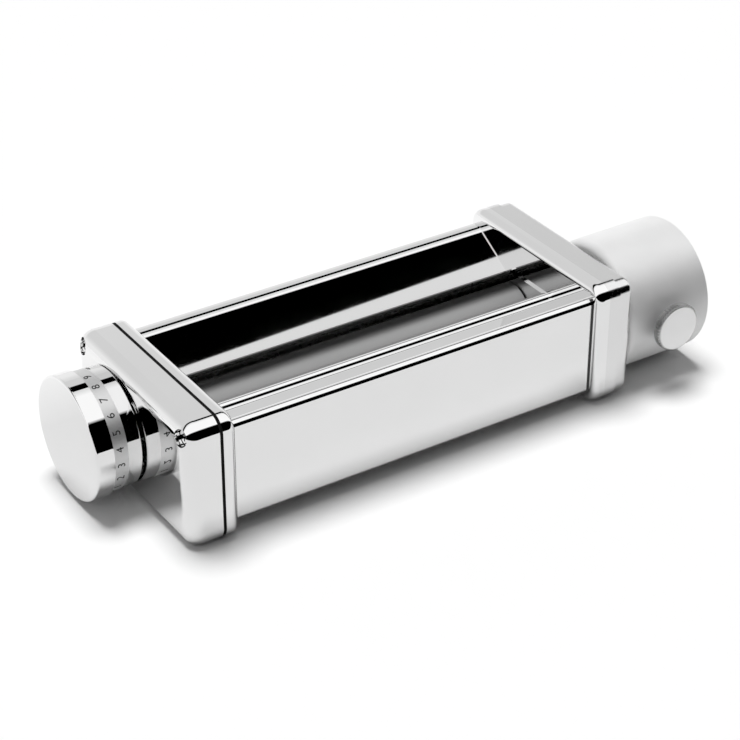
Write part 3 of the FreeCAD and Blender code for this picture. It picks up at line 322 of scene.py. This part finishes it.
BY_SLOT = {
    "chrome": CHROME,
    "polished_steel": POLISHED,
    "roller_steel": ROLLER,
    "satin_aluminium": SATIN,
    "steel": STEEL,
    "bronze": BRONZE,
    "block_alloy": ALLOY,
    "gear_nylon": NYLON,
    "gasket_rubber": RUBBER,
}


def dress(node, mat):
    """Give a CAD node one material."""
    materials = nodes[node].data.materials
    materials.clear()
    materials.append(mat)


for part in frame["record"]["subparts"]:
    dress(part["node"], BY_SLOT[part["material_slot"]])
dress("dial", dial_material())
dress("front_panel", panel_material())
dress("hub_end_cover", SOFT_CHROME)
dress("dial_end_cover_screws", POLISHED)
dress("hub_end_cover_screws", POLISHED)


# Pieces

def mesh_object(name, bm, mat):
    """An object from a bmesh, smooth where its faces meet at a shallow angle."""
    bmesh.ops.recalc_face_normals(bm, faces=bm.faces)
    mesh = bpy.data.meshes.new(name)
    bm.to_mesh(mesh)
    bm.free()
    for face in mesh.polygons:
        face.use_smooth = True
    mesh.set_sharp_from_angle(angle=SMOOTH_ANGLE)
    obj = bpy.data.objects.new(name, mesh)
    bpy.context.scene.collection.objects.link(obj)
    obj.data.materials.append(mat)
    return obj


def skin(bm, rings):
    """Faces over closed rings of vertices, one after the other, with both ends closed."""
    count = len(rings[0])
    for first, second in zip(rings, rings[1:]):
        for step in range(count):
            after = (step + 1) % count
            bm.faces.new((first[step], first[after], second[after], second[step]))
    bm.faces.new(rings[0])
    bm.faces.new(list(reversed(rings[-1])))


def thumbscrew():
    """Knurled thumbscrew with a flat face and a threaded shank."""
    low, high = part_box("thumbscrew")
    centre = (low + high) / 2
    head_r = (high.x - low.x) / 2
    head_back = low.y + HEAD_THICK
    profile = [(low.y + back * MM, head_r - inward * MM) for back, inward in HEAD_ROUND]
    profile += [(head_back - back * MM, head_r - inward * MM) for back, inward in reversed(HEAD_ROUND)]
    profile.append((head_back, SHANK_R))
    along = head_back + THREAD_START
    while along + THREAD_PITCH < high.y:
        profile += [(along, SHANK_R), (along + THREAD_PITCH / 2, SHANK_R - THREAD_DEPTH)]
        along += THREAD_PITCH
    profile += [(high.y - SHANK_EDGE, SHANK_R), (high.y, SHANK_R - SHANK_EDGE)]

    bm = bmesh.new()
    rings = []
    count = KNURLS * KNURL_POINTS
    for along, radius in profile:
        knurled = radius > head_r - KNURL_EDGE
        ring = []
        for step in range(count):
            turn = 2 * math.pi * step / count
            sunk = knurled and step % KNURL_POINTS < KNURL_POINTS / 2
            out = radius - KNURL_DEPTH if sunk else radius
            point = (centre.x + out * math.cos(turn), along, centre.z + out * math.sin(turn))
            ring.append(bm.verts.new(point))
        rings.append(ring)
    skin(bm, rings)

    piece = mesh_object("thumbscrew_knurled", bm, TURNED)
    # the knurled rim takes the darker copy of the aluminium, painted shade for its grooves
    piece.data.materials.append(KNURL_SHADE)
    for face in piece.data.polygons:
        out = math.hypot(face.center.x - centre.x, face.center.z - centre.z)
        if out > head_r - KNURL_SHADE_EDGE:
            face.material_index = 1
    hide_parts("thumbscrew")
    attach(piece, "clamp_screw")


def number_mesh(number):
    """Flat figures of a number as a bmesh, centred on the origin."""
    curve = bpy.data.curves.new("number", "FONT")
    curve.body = str(number)
    curve.align_x = "CENTER"
    curve.align_y = "CENTER"
    curve.size = NUMBER_SIZE
    curve.extrude = NUMBER_THICK
    text = bpy.data.objects.new("number_text", curve)
    bpy.context.scene.collection.objects.link(text)
    bpy.context.view_layer.update()
    shown = text.evaluated_get(bpy.context.evaluated_depsgraph_get())
    mesh = bpy.data.meshes.new_from_object(shown)
    bpy.data.objects.remove(text)
    bm = bmesh.new()
    bm.from_mesh(mesh)
    bpy.data.meshes.remove(mesh)
    bmesh.ops.remove_doubles(bm, verts=bm.verts, dist=SAME_POINT)
    return bm


def dial_numbers():
    """Numbers bent round the dial, read with their tops towards the knob."""
    low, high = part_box("dial")
    centre = (low + high) / 2
    radius = (high.y - low.y) / 2
    middle_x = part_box("knob_cap")[1].x + NUMBER_FROM_KNOB
    for number in range(NUMBERS):
        bm = number_mesh(number)
        place = READ_AT + (number - NUMBER_AT_REST) * NUMBER_STEP
        for vert in bm.verts:
            turn = place + vert.co.x / radius
            out = radius + NUMBER_STAND + vert.co.z
            y = centre.y - out * math.cos(turn)
            z = centre.z + out * math.sin(turn)
            vert.co = Vector((middle_x - vert.co.y, y, z))
        piece = mesh_object("dial_number_%d" % number, bm, INK)
        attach(piece, "knob")


def coil_spring(node, axis, wire_r, held, moved):
    """Coil in place of a spring's sleeve.

    held and moved, each a body and the end of the sleeve along the axis, 0 for low and 1 for high, are not
    used.
    """
    low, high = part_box(node)
    across = (axis + 1) % 3
    third = (axis + 2) % 3
    coil_r = (high[across] - low[across]) / 2 - wire_r
    start = low[axis] + wire_r
    length = high[axis] - wire_r - start
    centre = (low + high) / 2
    steps = COIL_STEPS * COIL_TURNS
    bm = bmesh.new()
    rings = []
    for step in range(steps + 1):
        turn = 2 * math.pi * COIL_TURNS * step / steps
        ring = []
        for side in range(WIRE_SIDES):
            lean = 2 * math.pi * side / WIRE_SIDES
            out = coil_r + wire_r * math.cos(lean)
            point = centre.copy()
            point[axis] = start + length * step / steps + wire_r * math.sin(lean)
            point[across] += out * math.cos(turn)
            point[third] += out * math.sin(turn)
            ring.append(bm.verts.new(point))
        rings.append(ring)
    skin(bm, rings)
    piece = mesh_object(node + "_coil", bm, STEEL)
    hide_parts(node)
    for body, end in (held, moved):
        place = centre.copy()
        place[axis] = high[axis] if end else low[axis]
    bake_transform(piece)


thumbscrew()
dial_numbers()
coil_spring("knob_spring", 0, KNOB_WIRE_R, ("adjuster", 0), ("knob", 1))
for spring in ("hub_end_return_spring", "dial_end_return_spring"):
    coil_spring(spring, 1, RETURN_WIRE_R, ("base", 1), ("carriage", 0))


# Studio

def floor():
    """Pale table under the object, white to the camera and behind the object."""
    bm = bmesh.new()
    corners = [
        (-FLOOR_SIDE, FLOOR_FRONT, FLOOR_Z),
        (FLOOR_SIDE, FLOOR_FRONT, FLOOR_Z),
        (FLOOR_SIDE, FLOOR_BACK, FLOOR_Z),
        (-FLOOR_SIDE, FLOOR_BACK, FLOOR_Z),
    ]
    bm.faces.new([bm.verts.new(corner) for corner in corners])
    mat, tree, shader = new_material("floor_white")
    shader.inputs["Roughness"].default_value = 0.9
    shader.inputs["Specular IOR Level"].default_value = 0.1
    path = add(tree, "ShaderNodeLightPath")
    behind = remap(tree, axes(tree)[1], *FLOOR_WHITE)
    white_share = calculate(tree, "MAXIMUM", path.outputs["Is Camera Ray"], behind)
    table = tones(tree, noise(tree, 3.0), grey(0.77), grey(0.79))
    tree.links.new(whiten(tree, white_share, table, 0.98), shader.inputs["Base Color"])
    piece = mesh_object("floor", bm, mat)


def world():
    """White studio: a pale backdrop, a dark gap, an overhead soft box and a dark room in front.

    The bands run almost along x and are set by the angle up from the horizon behind the object, in degrees.
    The camera itself sees plain white.
    """
    scene_world = bpy.data.worlds.new("studio")
    bpy.context.scene.world = scene_world
    scene_world.use_nodes = True
    tree = scene_world.node_tree
    x, y, z = axes(tree, "Generated")
    back = calculate(tree, "MULTIPLY_ADD", calculate(tree, "ABSOLUTE", x), BAND_TURN, y)
    angle = calculate(tree, "ARCTAN2", z, back)

    def slope(start, end, low, high):
        """Brightness that goes from low to high between two angles."""
        return remap(tree, angle, math.radians(start), math.radians(end), low, high)

    def times(first, second):
        """Two brightnesses multiplied."""
        return calculate(tree, "MULTIPLY", first, second)

    def plus(first, second):
        """Two brightnesses added."""
        return calculate(tree, "ADD", first, second)

    horizon = times(slope(-30.0, -20.0, 0.0, 0.18), slope(18.0, 36.0, 1.0, -0.17))
    backdrop = plus(slope(-173.5, -172.0, 0.0, 0.73), horizon)
    backdrop = times(backdrop, slope(51.6, 53.1, 1.0, 0.0))
    soft_box = plus(slope(65.335, 65.365, 0.0, 0.78), slope(66.9, 78.9, 0.0, 0.27))
    soft_box = times(soft_box, slope(128.0, 133.0, 1.0, 0.0))
    path = add(tree, "ShaderNodeLightPath")
    lit = remap(tree, path.outputs["Is Glossy Ray"], 0.0, 1.0, AMBIENT, 1.0)
    room = times(plus(backdrop, soft_box), lit)
    seen = whiten(tree, path.outputs["Is Camera Ray"], room, 1.0)
    tree.links.new(seen, tree.nodes["Background"].inputs["Color"])


def key_light(tilt, spread_angle, strength):
    """Broad soft light from above and a little behind, which metal doesn't mirror."""
    light = bpy.data.lights.new("key", "SUN")
    light.angle = math.radians(spread_angle)
    light.energy = strength
    obj = bpy.data.objects.new("key", light)
    bpy.context.scene.collection.objects.link(obj)
    obj.location = (0.0, 0.0, 1.0)
    obj.rotation_euler = (math.radians(-tilt), 0.0, 0.0)
    obj.visible_glossy = False


def camera():
    """Camera at the photograph's angle."""
    yaw = math.radians(33.1717)
    pitch = math.radians(31.5393)
    roll = math.radians(0.1138)
    place = Vector((-0.379689, -0.570548, 0.439863))
    forward = Vector((math.sin(yaw) * math.cos(pitch), math.cos(yaw) * math.cos(pitch), -math.sin(pitch)))
    level = Vector((math.cos(yaw), -math.sin(yaw), 0.0))
    upright = level.cross(forward)
    right = level * math.cos(roll) + upright * math.sin(roll)
    up = upright * math.cos(roll) - level * math.sin(roll)
    data = bpy.data.cameras.new("camera")
    data.sensor_fit = "HORIZONTAL"
    data.sensor_width = 36.0
    data.lens = 107.95
    obj = bpy.data.objects.new("camera", data)
    bpy.context.scene.collection.objects.link(obj)
    turn = Matrix((right, up, -forward)).transposed().to_4x4()
    obj.matrix_world = Matrix.Translation(place) @ turn
    bpy.context.scene.camera = obj


floor()
world()
key_light(tilt=10.5, spread_angle=26.0, strength=2.62)
camera()
bpy.context.scene.view_settings.view_transform = "Standard"
